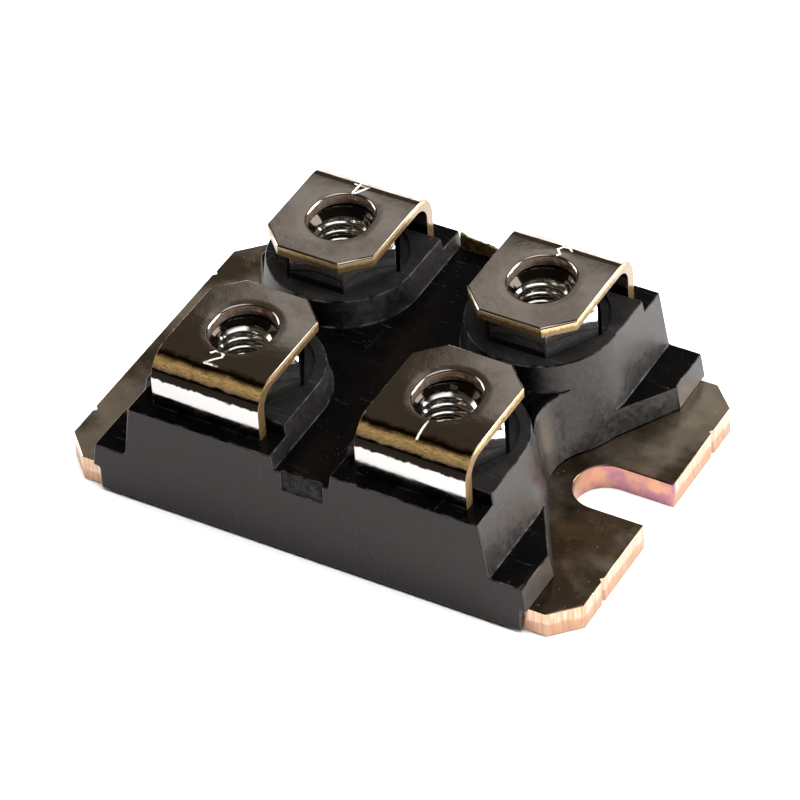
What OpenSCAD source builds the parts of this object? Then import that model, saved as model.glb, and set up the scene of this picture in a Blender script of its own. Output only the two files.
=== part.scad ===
// Four-terminal screw power module with two Schottky diodes on an insulated copper base plate.
// Millimetres. X runs along the length towards the open mounting slot, Z runs up.
// The origin is the centre of the base plate's underside.

/* [Base plate] */
// Length of the base plate
plate_l = 38; // [37:0.1:41]
// Width of the base plate
plate_w = 24.4; // [23.8:0.1:26]
// Thickness of the base plate
plate_t = 2; // [1.5:0.1:3]
// Corner chamfer of the base plate, measured along each edge
plate_chamfer = 1.8; // [0.5:0.1:2.2]
// Distance from each end of the plate to the centre of its hole or slot
mount_edge = 3.9; // [3.4:0.1:4.4]
// Diameter of the mounting hole and width of the slot
mount_d = 4.2; // [3.6:0.1:4.6]
// Distance from the plate's long sides to the shear notches in its ends
notch_edge = 4.4; // [2.5:0.1:6]
// Width of a V-shaped shear notch
notch_w = 0.5; // [0.3:0.05:0.8]

/* [Housing] */
// Length of plate left bare beyond the corner shelves at each end
plate_ledge = 3.2; // [2.7:0.1:3.6]
// Distance from the shelf ends to the ends of the moulding along the plate's sides
skirt_step = 0.2; // [0:0.05:0.6]
// Thickness of the moulding along the sides of the plate
skirt_t = 0.45; // [0.3:0.05:1]
// Height of the moulding's lower edge above the plate's underside
skirt_lift = 0.2; // [0.1:0.05:0.6]
// Height of the corner shelves above the plate
shelf_h = 1.9; // [1.4:0.1:3]
// Width of a corner shelf's end face
shelf_w = 3.65; // [2.5:0.05:4.5]
// Angle between a shelf's inner wall and the short side of the module, in degrees
shelf_slant = 31; // [25:1:36]
// Height of the cross channel above the plate
floor_h = 5; // [4.6:0.1:7]
// Height of the edge bands above the cross channel
band_rise = 1.1; // [0.5:0.1:2]
// Height of the terminal bosses above the edge bands
boss_rise = 0.9; // [0.5:0.1:2]
// Radius of a terminal boss at its top
boss_r = 5.2; // [4.9:0.05:5.5]
// Draft of the boss, shelf and scallop walls, in degrees
wall_draft = 8.5; // [4:0.5:10]
// Draft of the long side faces, in degrees
face_draft = 0.5; // [0.25:0.25:3]
// Width of the gate breaks on the long sides
gate_w = 3; // [1.5:0.1:4]
// Height of the gate breaks
gate_h = 1.45; // [0.6:0.05:3]
// Depth of the gate breaks
gate_depth = 0.25; // [0.1:0.05:0.5]

/* [Terminals] */
// Distance from the shelf ends to the terminals' screws
screw_end = 8.3; // [8:0.05:8.6]
// Distance from the moulding's long sides to the terminals' screws
screw_side = 6.3; // [6.1:0.05:6.5]
// Width of a terminal
lug_w = 8; // [7:0.1:9]
// Thickness of the terminal strip
lug_t = 0.8; // [0.6:0.05:1]
// Distance from the screw hole's centre to the terminal's free end
lug_reach = 4.45; // [3.8:0.05:5]
// Chamfer at the corners of the terminal's free end
lug_chamfer = 1.7; // [0.5:0.1:2.2]
// Coined bevel along the upper edge of the free end
lug_coin = 0.3; // [0.1:0.05:0.5]
// Width of the screw hole in a terminal
hole_w = 4.2; // [3.8:0.1:4.6]
// Length of the screw hole in a terminal
hole_l = 4.8; // [4.7:0.1:5.4]
// Inner radius of a terminal's bend over its nut
bend_r = 1.2; // [0.6:0.05:1.3]
// Inner radius of the bend at a terminal's foot
foot_r = 0.4; // [0.3:0.05:0.8]
// Distance from the moulding's long side to a terminal's outer face
leg_inset = 1.15; // [0.8:0.05:1.4]
// Gap between the foot of a boss's riser and the inner face of the leg
riser_gap = 0.25; // [0.1:0.05:0.4]
// Slant of the riser between an edge band and its boss, in degrees
riser_slant = 5; // [1:1:12]
// Width of a leg below its shoulders
foot_w = 5; // [3:0.1:5.4]
// Length of a terminal's foot, with its bend
foot_l = 3.4; // [2.6:0.1:3.8]
// Depth of a leg's shoulders below the edge band
shoulder_depth = 2; // [1:0.1:3]

/* [Nuts] */
// Width of a nut across its flats
nut_af = 7; // [6:0.1:7.4]
// Height of a nut
nut_h = 3.2; // [2.4:0.1:4]
// Tapping diameter of the nut's thread
tap_d = 3.3; // [2.5:0.05:3.6]
// Diameter of the countersink at each face of a nut
entry_d = 4.6; // [4:0.05:5]
// Depth of a nut pocket below the boss top
nut_sink = 1.1; // [0.6:0.1:1.8]
// Gap between a nut and its terminal
nut_gap = 0.1; // [0.05:0.05:0.5]
// Clearance between a nut's flats and its pocket
pocket_gap = 0.25; // [0.1:0.05:0.4]
// Rim of the shallow round seat outside the corners of a nut pocket
seat_rim = 0.16; // [0.05:0.01:0.3]
// Depth of the shallow round seat
seat_depth = 0.12; // [0.05:0.01:0.3]
// Diameter of the screw well below a nut
well_d = 4.6; // [4.3:0.1:5.2]
// Height of the screw well's bottom above the plate
well_floor = 3.1; // [2.8:0.1:3.6]

/* [Diode stack] */
// Distance from the shelf ends to the ceramic substrate
ceramic_end = 5.2; // [5:0.1:6]
// Distance from the plate's long sides to the ceramic substrate
ceramic_side = 1.7; // [1.5:0.1:2]
// Thickness of the ceramic substrate
ceramic_t = 0.63; // [0.3:0.01:0.8]
// Bare border of the ceramic around its copper
copper_border = 0.5; // [0.2:0.05:0.8]
// Thickness of the copper on each side of the ceramic
copper_t = 0.3; // [0.2:0.05:0.4]
// Width of the gaps between the copper pads
pad_gap = 1; // [0.6:0.1:1.4]
// Distance of the gap between cathode and anode pads from the centre line
pad_split = 1.3; // [1:0.1:1.8]
// Thickness of the solder under the substrate
plate_solder_t = 0.15; // [0.08:0.01:0.25]
// Thickness of the solder under dies and feet
joint_t = 0.1; // [0.05:0.01:0.15]
// Side of a diode die
die_w = 7; // [5:0.1:7.6]
// Thickness of a diode die
die_t = 0.3; // [0.2:0.01:0.4]
// Distance of a die from the edge of its pad
die_margin = 0.5; // [0.2:0.1:0.8]
// Bond wires on each die
wire_count = 5; // [2:1:5]
// Diameter of a bond wire
wire_d = 0.4; // [0.25:0.05:0.5]
// Pitch of the bond wires
wire_pitch = 1.2; // [0.7:0.1:1.3]
// Loop radius of a bond wire
wire_loop = 1.8; // [1.5:0.1:1.9]
// Distance of the wires' bonds from the edge of the die
wire_inset = 1.3; // [0.6:0.1:2]

/* [Hidden] */
$fn = 64;
eps = 0.5;

// Heights of the moulding's levels
shelf_z = plate_t + shelf_h;
floor_z = plate_t + floor_h;
band_z = floor_z + band_rise;
boss_z = band_z + boss_rise;
body_l = plate_l - 2 * plate_ledge;
body_w = plate_w + 2 * skirt_t;
gate_y = body_w / 2 - floor_z * tan(face_draft) - gate_depth;

// Places of the screws
boss_x = body_l / 2 - screw_end;
boss_y = body_w / 2 - screw_side;
mount_x = plate_l / 2 - mount_edge;

// A boss and a scallop share their draft and touch along a line, so their walls flow together
slope = tan(wall_draft);
flow_l = norm([mount_x - boss_x, boss_y]);
function boss_r_at(z) = boss_r + (boss_z - z) * slope;
function scallop_r_at(z) = flow_l - boss_r_at(z);

// Nut, terminal and screw well heights
nut_z = boss_z - nut_sink;
nut_top = nut_z + nut_h;
lug_z = nut_top + nut_gap;
lug_top = lug_z + lug_t;
well_z = plate_t + well_floor;
nut_corner_d = nut_af / cos(30);
pocket_af = nut_af + 2 * pocket_gap;
pocket_d = nut_corner_d + 2 * pocket_gap;
nut_face_d = 0.95 * nut_af;

// Terminal places across the module, for a terminal on the +Y side
leg_y = body_w / 2 - leg_inset;
riser_y = leg_y - lug_t - riser_gap;
free_y = boss_y - lug_reach;
bend_out = bend_r + lug_t;
foot_out = foot_r + lug_t;

// Heights of the diode stack
copper_z = plate_t + plate_solder_t;
ceramic_z = copper_z + copper_t;
pad_z = ceramic_z + ceramic_t;
pad_top = pad_z + copper_t;
joint_top = pad_top + joint_t;
die_top = joint_top + die_t;

// Places in the diode stack, for the diode on the +X side
ceramic_x = body_l / 2 - ceramic_end;
ceramic_y = plate_w / 2 - ceramic_side;
pad_x = ceramic_x - copper_border;
pad_y = ceramic_y - copper_border;
cathode_y = pad_gap / 2 - pad_split;
anode_y = -pad_gap / 2 - pad_split;
die_x = (pad_gap / 2 + pad_x) / 2;
die_y = cathode_y + die_margin;
bond_y = die_y + wire_inset;
shoulder_z = band_z - shoulder_depth;

// A child for each terminal place, mirrored so that its leg is on the outer side
module each_terminal() {
    for (sx = [-1, 1], sy = [0, 1])
        translate([sx * boss_x, 0, 0])
            mirror([0, sy, 0])
                children();
}

// A child for each end of the module
module each_end() {
    for (end = [0, 1])
        mirror([end, 0, 0])
            children();
}

// A child on each diode
module on_diode(index) {
    mirror([index - 1, 0, 0])
        children();
}

// A solid between two outlines of as many points each, listed clockwise as seen from above
module drafted_prism(lower, upper, z0, z1) {
    n = len(lower);
    points = concat([for (p = lower) [p.x, p.y, z0]], [for (p = upper) [p.x, p.y, z1]]);
    sides = [for (i = [0 : n - 1]) [i, (i + 1) % n, (i + 1) % n + n, i + n]];
    polyhedron(points, concat([[for (i = [n - 1 : -1 : 0]) i]], [[for (i = [0 : n - 1]) i + n]], sides));
}

// Outline of the plate with its corner chamfers
module plate_outline() {
    l = plate_l / 2;
    w = plate_w / 2;
    c = plate_chamfer;
    polygon([
        [l, w - c], [l - c, w], [c - l, w], [-l, w - c],
        [-l, c - w], [c - l, -w], [l - c, -w], [l, c - w]
    ]);
}

module base_plate() {
    color("peru")
        difference() {
            linear_extrude(plate_t)
                plate_outline();
            translate([-mount_x, 0, -eps])
                cylinder(d = mount_d, h = plate_t + 2 * eps);
            translate([mount_x, 0, -eps])
                cylinder(d = mount_d, h = plate_t + 2 * eps);
            translate([mount_x, -mount_d / 2, -eps])
                cube([plate_l / 2, mount_d, plate_t + 2 * eps]);
            for (sx = [-1, 1], sy = [-1, 1])
                translate([sx * plate_l / 2, sy * (plate_w / 2 - notch_edge), -eps])
                    cylinder(d = notch_w, h = plate_t + 2 * eps, $fn = 4);
        }
}

// Round inner half of a boss and the straight walls that carry it to the long side
module boss() {
    profile = [[0, plate_t], [boss_r_at(plate_t), plate_t], [boss_r, boss_z], [0, boss_z]];
    translate([0, boss_y, 0]) {
        rotate([0, 0, 180])
            rotate_extrude(angle = 180)
                polygon(profile);
        rotate([90, 0, 180])
            linear_extrude(body_w / 2)
                polygon([profile[1], profile[2], [-boss_r, boss_z], [-boss_r_at(plate_t), plate_t]]);
    }
}

// Filling between the bosses, up to the floor of the cross channel, with a scallop at each end
module channel_block() {
    side = [[boss_x, boss_y], [boss_x, body_w], [-boss_x, body_w], [-boss_x, boss_y]];
    other_side = [for (i = [3 : -1 : 0]) [side[i].x, -side[i].y]];
    low = plate_t - eps;
    high = floor_z + eps;
    difference() {
        translate([0, 0, plate_t])
            linear_extrude(floor_h)
                polygon(concat([[mount_x, 0]], side, [[-mount_x, 0]], other_side));
        each_end()
            translate([mount_x, 0, low])
                cylinder(r1 = scallop_r_at(low), r2 = scallop_r_at(high), h = high - low);
    }
}

// Low shelf at the corner on the +X and +Y side
module corner_shelf() {
    grow = shelf_h * slope;
    corner = [body_l / 2, body_w / 2 - shelf_w];
    corner_low = [corner.x + grow, corner.y - grow * tan(shelf_slant / 2)];
    tip_x = boss_x + 0.9 * boss_r;
    tip_y = corner.y - (corner.x - tip_x) / tan(shelf_slant);
    tip_low = [tip_x + grow / cos(shelf_slant), tip_y];
    drafted_prism(
        [[corner_low.x, body_w], corner_low, tip_low, [boss_x, tip_y], [boss_x, body_w]],
        [[corner.x, body_w], corner, [tip_x, tip_y], [boss_x, tip_y], [boss_x, body_w]],
        plate_t, shelf_z);
}

module housing() {
    color("#26272a")
        difference() {
            union() {
                channel_block();
                each_terminal()
                    boss();
                for (sx = [0, 1], sy = [0, 1])
                    mirror([sx, 0, 0])
                        mirror([0, sy, 0])
                            corner_shelf();
                translate([skirt_step - body_l / 2, -body_w, skirt_lift])
                    cube([body_l - 2 * skirt_step, 2 * body_w, plate_t - skirt_lift]);
            }
            // Long sides, edge bands and gate breaks
            for (side = [0, 1])
                mirror([0, side, 0]) {
                    translate([-plate_l / 2, body_w / 2, 0])
                        rotate([face_draft, 0, 0])
                            translate([0, 0, -boss_z])
                                cube([plate_l, body_w, 3 * boss_z]);
                    band_step();
                    translate([-gate_w / 2, gate_y, floor_z - gate_h])
                        cube([gate_w, body_w, boss_z]);
                }
            // Seats of the nuts, with wells for the screw ends
            each_terminal()
                translate([0, boss_y, 0]) {
                    translate([0, 0, nut_z])
                        nut_pocket();
                    translate([0, 0, well_z])
                        cylinder(d = well_d, h = boss_z);
                }
            // Space of everything that is moulded in
            translate([-plate_l / 2, -plate_w / 2, -eps])
                cube([plate_l, plate_w, plate_t + eps]);
            each_terminal()
                bent_strip();
            plate_solder_layer();
            substrate_copper_layer();
            substrate_ceramic_layer();
            for (index = [1, 2])
                on_diode(index) {
                    cathode_pad_layer();
                    anode_pad_layer();
                    die_solder_layer();
                    die_layer();
                    wire_loops();
                }
            foot_joints();
        }
}

// Space above an edge band, in front of the steep riser of its bosses
module band_step() {
    high = boss_z + eps;
    translate([-plate_l / 2, 0, 0])
        rotate([90, 0, 90])
            linear_extrude(plate_l)
                polygon([
                    [riser_y, band_z], [body_w, band_z],
                    [body_w, high], [riser_y - (high - band_z) * tan(riser_slant), high]
                ]);
}

// Hexagonal recess whose corners are rounded, in a shallow round seat
module nut_pocket() {
    intersection() {
        cylinder(d = pocket_af / cos(30), h = boss_z, $fn = 6);
        cylinder(d = pocket_d, h = boss_z);
    }
    translate([0, 0, nut_sink - seat_depth])
        cylinder(d = pocket_d + 2 * seat_rim, h = boss_z);
}

// Quarter ring of the strip around an inner bend radius
module strip_bend(r) {
    difference() {
        intersection() {
            circle(r + lug_t);
            square(r + lug_t);
        }
        circle(r);
    }
}

// Side view of a terminal's strip: flat, bend, leg, bend and foot
module strip_profile() {
    bend_y = leg_y - bend_out;
    foot_y = leg_y - foot_out;
    high = lug_top - bend_out;
    low = joint_top + foot_out;
    translate([free_y, lug_z])
        square([bend_y - free_y, lug_t]);
    translate([bend_y, high])
        strip_bend(bend_r);
    translate([leg_y - lug_t, low])
        square([lug_t, high - low]);
    translate([foot_y, low])
        mirror([0, 1])
            strip_bend(foot_r);
    translate([leg_y - foot_l, joint_top])
        square([foot_l - foot_out, lug_t]);
}

// Bent strip with a narrower foot below its shoulders
module bent_strip() {
    difference() {
        translate([-lug_w / 2, 0, 0])
            rotate([90, 0, 90])
                linear_extrude(lug_w)
                    strip_profile();
        for (side = [0, 1])
            mirror([side, 0, 0])
                translate([foot_w / 2, leg_y - foot_l - eps, joint_top - eps])
                    cube([lug_w, foot_l + 2 * eps, shoulder_z - joint_top + eps]);
    }
}

// Flat outline with round ends, long in Y
module oblong(w, l) {
    square([w, l - w], center = true);
    for (sy = [-1, 1])
        translate([0, sy * (l - w) / 2])
            circle(d = w);
}

// Corner to be cut off at the terminal's free end
module corner_cut() {
    translate([lug_w / 2, free_y, lug_z - eps])
        linear_extrude(lug_t + 2 * eps)
            polygon([[eps, -eps], [eps, lug_chamfer + eps], [-lug_chamfer - eps, -eps]]);
}

module terminal() {
    color("#9a938a")
        difference() {
            bent_strip();
            translate([0, boss_y, lug_z - eps])
                linear_extrude(lug_t + 2 * eps)
                    oblong(hole_w, hole_l);
            for (side = [0, 1])
                mirror([side, 0, 0])
                    corner_cut();
            translate([-lug_w, free_y, lug_top - lug_coin])
                rotate([45, 0, 0])
                    translate([0, -lug_w, 0])
                        cube([2 * lug_w, lug_w, lug_w]);
        }
}

// Terminal on the given side of the module
module place_terminal(sx, sy) {
    translate([sx * boss_x, 0, 0])
        mirror([0, (1 - sy) / 2, 0])
            terminal();
}

module terminal_1() { place_terminal(1, -1); }
module terminal_2() { place_terminal(-1, -1); }
module terminal_3() { place_terminal(1, 1); }
module terminal_4() { place_terminal(-1, 1); }

// Hexagonal nut with chamfered corners and a countersunk bore
module nut() {
    rise = (nut_corner_d - nut_face_d) / 2 * tan(30);
    sink = (entry_d - tap_d) / 2;
    difference() {
        intersection() {
            cylinder(d = nut_corner_d, h = nut_h, $fn = 6);
            rotate_extrude()
                polygon([
                    [0, 0], [nut_face_d / 2, 0], [nut_corner_d / 2, rise],
                    [nut_corner_d / 2, nut_h - rise], [nut_face_d / 2, nut_h], [0, nut_h]
                ]);
        }
        translate([0, 0, -eps])
            cylinder(d = tap_d, h = nut_h + 2 * eps);
        translate([0, 0, nut_h - sink])
            cylinder(d1 = tap_d, d2 = tap_d + 4 * sink, h = 2 * sink);
        translate([0, 0, -sink])
            cylinder(d1 = tap_d + 4 * sink, d2 = tap_d, h = 2 * sink);
    }
}

module terminal_nuts() {
    color("silver")
        each_terminal()
            translate([0, boss_y, nut_z])
                nut();
}

// Flat layer between two corners
module layer(x0, x1, y0, y1, z, t) {
    translate([x0, y0, z])
        cube([x1 - x0, y1 - y0, t]);
}

module plate_solder_layer() { layer(-pad_x, pad_x, -pad_y, pad_y, plate_t, plate_solder_t); }
module substrate_copper_layer() { layer(-pad_x, pad_x, -pad_y, pad_y, copper_z, copper_t); }
module substrate_ceramic_layer() {
    layer(-ceramic_x, ceramic_x, -ceramic_y, ceramic_y, ceramic_z, ceramic_t);
}
module cathode_pad_layer() { layer(pad_gap / 2, pad_x, cathode_y, pad_y, pad_z, copper_t); }
module anode_pad_layer() { layer(pad_gap / 2, pad_x, -pad_y, anode_y, pad_z, copper_t); }
module die_area(z, t) { layer(die_x - die_w / 2, die_x + die_w / 2, die_y, die_y + die_w, z, t); }
module die_solder_layer() { die_area(pad_top, joint_t); }
module die_layer() { die_area(joint_top, die_t); }

// Solder joints under the four feet
module foot_joints() {
    each_terminal()
        layer(-foot_w / 2, foot_w / 2, leg_y - foot_l, min(pad_y, leg_y - foot_out), pad_top, joint_t);
}

// Half-round loops from the die to the anode pad
module wire_loops() {
    for (i = [0 : wire_count - 1])
        translate([die_x + (i - (wire_count - 1) / 2) * wire_pitch, bond_y - wire_loop, 0]) {
            translate([0, 0, die_top])
                rotate([90, 0, 90])
                    rotate_extrude(angle = 180)
                        translate([wire_loop, 0])
                            circle(d = wire_d, $fn = 24);
            translate([0, -wire_loop, pad_top])
                cylinder(d = wire_d, h = die_top - pad_top, $fn = 24);
        }
}

module plate_solder() { color("lightgray") plate_solder_layer(); }
module substrate_copper() { color("chocolate") substrate_copper_layer(); }
module substrate_ceramic() { color("ivory") substrate_ceramic_layer(); }
module cathode_pad(index) { color("chocolate") on_diode(index) cathode_pad_layer(); }
module anode_pad(index) { color("chocolate") on_diode(index) anode_pad_layer(); }
module die_solder(index) { color("lightgray") on_diode(index) die_solder_layer(); }
module diode_die(index) { color("dimgray") on_diode(index) die_layer(); }
module foot_solder() { color("lightgray") foot_joints(); }
module bond_wires(index) { color("gainsboro") on_diode(index) wire_loops(); }

base_plate();
housing();
terminal_1();
terminal_2();
terminal_3();
terminal_4();
terminal_nuts();
plate_solder();
substrate_copper();
substrate_ceramic();
cathode_pad(1);  // cathode_pad_1
cathode_pad(2);  // cathode_pad_2
anode_pad(1);  // anode_pad_1
anode_pad(2);  // anode_pad_2
die_solder(1);  // die_solder_1
die_solder(2);  // die_solder_2
diode_die(1);  // diode_die_1
diode_die(2);  // diode_die_2
foot_solder();
bond_wires(1);  // bond_wires_1
bond_wires(2);  // bond_wires_2
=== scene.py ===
"""Looks of a four-terminal screw module: finishes, threaded nuts, stamped digits, gate breaks, studio."""
import logging
import math
from dataclasses import dataclass
from enum import Enum
from functools import partial, reduce
from typing import Sequence, Union

import bmesh
import bpy
from mathutils import Matrix, Vector, noise


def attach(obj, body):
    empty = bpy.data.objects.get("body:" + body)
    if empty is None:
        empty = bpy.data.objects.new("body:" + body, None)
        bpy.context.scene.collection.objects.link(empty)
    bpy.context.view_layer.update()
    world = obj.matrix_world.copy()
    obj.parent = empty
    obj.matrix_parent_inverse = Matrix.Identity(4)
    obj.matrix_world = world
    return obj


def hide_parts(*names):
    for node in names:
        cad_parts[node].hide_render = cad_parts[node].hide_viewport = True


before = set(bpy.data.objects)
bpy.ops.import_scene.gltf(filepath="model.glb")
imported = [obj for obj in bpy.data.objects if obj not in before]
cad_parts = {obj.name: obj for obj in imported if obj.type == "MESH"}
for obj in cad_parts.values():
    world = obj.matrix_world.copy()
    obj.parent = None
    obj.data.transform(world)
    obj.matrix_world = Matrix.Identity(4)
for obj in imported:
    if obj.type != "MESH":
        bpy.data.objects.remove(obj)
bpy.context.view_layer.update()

BODY = "root"
MM = 0.001
LOG = logging.getLogger("module_looks")

# Places that several pieces share, in mm: screw axes, top of the terminals, start and radius of their bends
SCREW = (7.5, 6.35)
LUG_TOP = 12.0
BEND_Y = 9.5
BEND_R = 2.0

Socket = bpy.types.NodeSocket
Value = Union[float, Sequence[float], Socket]
Colour = tuple[float, float, float]


class Nodes:
    """Node tree with short calls that add and join its nodes."""

    def __init__(self, tree: bpy.types.NodeTree) -> None:
        """Take over a node tree."""
        self.tree = tree

    def add(self, kind: str, **settings: object) -> bpy.types.Node:
        """Add a node.

        Args:
            kind: Type of the node.
            **settings: Properties to set on it.

        Returns:
            The new node.
        """
        node = self.tree.nodes.new(kind)
        for name, value in settings.items():
            setattr(node, name, value)
        return node

    def feed(self, socket: Socket, value: Value) -> None:
        """Join a socket to another one, or set its own value.

        Args:
            socket: Input to feed.
            value: Output socket, or a plain value.
        """
        if isinstance(value, bpy.types.NodeSocket):
            self.tree.links.new(value, socket)
        elif isinstance(value, (int, float)):
            socket.default_value = value
        else:
            fill = tuple(value)
            socket.default_value = fill + (1.0,) * (len(socket.default_value) - len(fill))

    def split(self, vector: Socket) -> tuple[Socket, Socket, Socket]:
        """Take a vector apart.

        Args:
            vector: Vector to split.

        Returns:
            Its three parts.
        """
        node = self.add("ShaderNodeSeparateXYZ")
        self.feed(node.inputs[0], vector)
        return tuple(node.outputs)

    def calc(self, operation: str, *values: Value) -> Socket:
        """Work out one number from others.

        Args:
            operation: Name of the Math operation.
            *values: Its inputs in order.

        Returns:
            The result.
        """
        node = self.add("ShaderNodeMath", operation=operation)
        for socket, value in zip(node.inputs, values):
            self.feed(socket, value)
        return node.outputs[0]

    def both(self, *masks: Value) -> Socket:
        """Multiply masks, so that the result holds where all of them do."""
        return reduce(partial(self.calc, "MULTIPLY"), masks)

    def either(self, *masks: Value) -> Socket:
        """Take the largest of some masks."""
        return reduce(partial(self.calc, "MAXIMUM"), masks)

    def size_of(self, value: Socket) -> Socket:
        """Drop the sign of a number."""
        return self.calc("ABSOLUTE", value)

    def ramp(self, value: Value, start: float, end: float, low: float = 0.0, high: float = 1.0) -> Socket:
        """Carry a value smoothly from one range to another.

        Args:
            value: Number to carry.
            start: Where the ramp begins.
            end: Where the ramp ends.
            low: Result up to the start.
            high: Result from the end on.

        Returns:
            The carried value.
        """
        node = self.add("ShaderNodeMapRange", interpolation_type="SMOOTHSTEP")
        for socket, item in zip(node.inputs, (value, start, end, low, high)):
            self.feed(socket, item)
        return node.outputs[0]

    def reach(self, x: Socket, y: Socket, axis: Sequence[float], run: float = 0.0) -> Socket:
        """Give the distance from the nearest of four upright axes.

        Args:
            x: Place along x.
            y: Place along y.
            axis: Distances of the axes from the middle planes.
            run: How far an axis is drawn out along y, to both sides.

        Returns:
            The distance.
        """
        across = self.calc("SUBTRACT", self.size_of(x), axis[0])
        along = self.size_of(self.calc("SUBTRACT", self.size_of(y), axis[1]))
        along = self.calc("MAXIMUM", self.calc("SUBTRACT", along, run), 0.0)
        return self.calc("SQRT", self.calc("ADD", self.both(across, across), self.both(along, along)))


class Graph(Nodes):
    """Nodes of one material; lengths are in mm."""

    def __init__(self, name: str) -> None:
        """Start a material with its shader, and its position and normal on the piece.

        Args:
            name: Name of the material.
        """
        self.material = bpy.data.materials.new(name)
        self.material.use_nodes = True
        super().__init__(self.material.node_tree)
        self.shader = self.tree.nodes["Principled BSDF"]
        coords = self.add("ShaderNodeTexCoord")
        self.place = self.stretch((1000.0, 1000.0, 1000.0), coords.outputs["Object"])
        self.x, self.y, self.z = self.split(self.place)
        self.nx, self.ny, self.nz = self.split(coords.outputs["Normal"])

    def stretch(self, scale: Sequence[float], vector: Value, turn: Sequence[float] = (0, 0, 0)) -> Socket:
        """Scale and turn a coordinate.

        Args:
            scale: Factor along each axis.
            vector: Coordinate to change.
            turn: Rotation about each axis, in radians.

        Returns:
            The changed coordinate.
        """
        node = self.add("ShaderNodeMapping")
        self.feed(node.inputs["Vector"], vector)
        node.inputs["Scale"].default_value = scale
        node.inputs["Rotation"].default_value = turn
        return node.outputs[0]

    def noise(self, scale: float, detail: float = 2.0, rough: float = 0.5,
              vector: Value | None = None, twist: float = 0.0) -> Socket:
        """Add a cloud pattern.

        Args:
            scale: Waves per mm.
            detail: Number of finer layers.
            rough: Strength of the finer layers.
            vector: Coordinate to use in place of the piece's own.
            twist: Distortion of the pattern.

        Returns:
            Value of the pattern, around 0.5.
        """
        node = self.add("ShaderNodeTexNoise")
        self.feed(node.inputs["Vector"], self.place if vector is None else vector)
        settings = {"Scale": scale, "Detail": detail, "Roughness": rough, "Distortion": twist}
        for name, value in settings.items():
            node.inputs[name].default_value = value
        return node.outputs["Fac"]

    def specks(self, scale: float, radius: float, share: float) -> Socket:
        """Scatter small round specks.

        Args:
            scale: Cells per mm.
            radius: Radius of a speck as a share of a cell.
            share: Share of the cells that have one.

        Returns:
            Mask of the specks.
        """
        node = self.add("ShaderNodeTexVoronoi")
        self.feed(node.inputs["Vector"], self.place)
        node.inputs["Scale"].default_value = scale
        dot = self.ramp(node.outputs["Distance"], radius, 0.5 * radius)
        chance = self.split(node.outputs["Color"])[0]
        return self.both(dot, self.calc("LESS_THAN", chance, share))

    def blend(self, factor: Value, first: Value, second: Value) -> Socket:
        """Mix two colours.

        Args:
            factor: Share of the second colour.
            first: Colour at 0.
            second: Colour at 1.

        Returns:
            The mixed colour.
        """
        node = self.add("ShaderNodeMix", data_type="RGBA")
        self.feed(node.inputs["Factor"], factor)
        self.feed(node.inputs[6], first)
        self.feed(node.inputs[7], second)
        return node.outputs[2]

    def bump(self, height: Value, strength: float, distance: float, under: Socket | None = None) -> Socket:
        """Turn a height into a bent normal.

        Args:
            height: Height pattern from 0 to 1.
            strength: Strength of the effect.
            distance: Height of the pattern in mm.
            under: Normal to build on.

        Returns:
            The bent normal.
        """
        node = self.add("ShaderNodeBump")
        node.inputs["Strength"].default_value = strength
        node.inputs["Distance"].default_value = distance * MM
        self.feed(node.inputs["Height"], height)
        if under is not None:
            self.feed(node.inputs["Normal"], under)
        return node.outputs[0]

    def finish(self, **inputs: Value) -> bpy.types.Material:
        """Feed the shader and give the material.

        Args:
            **inputs: Shader inputs, with underscores for the spaces in their names.

        Returns:
            The finished material.
        """
        for name, value in inputs.items():
            self.feed(self.shader.inputs[name.replace("_", " ")], value)
        return self.material


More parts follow.
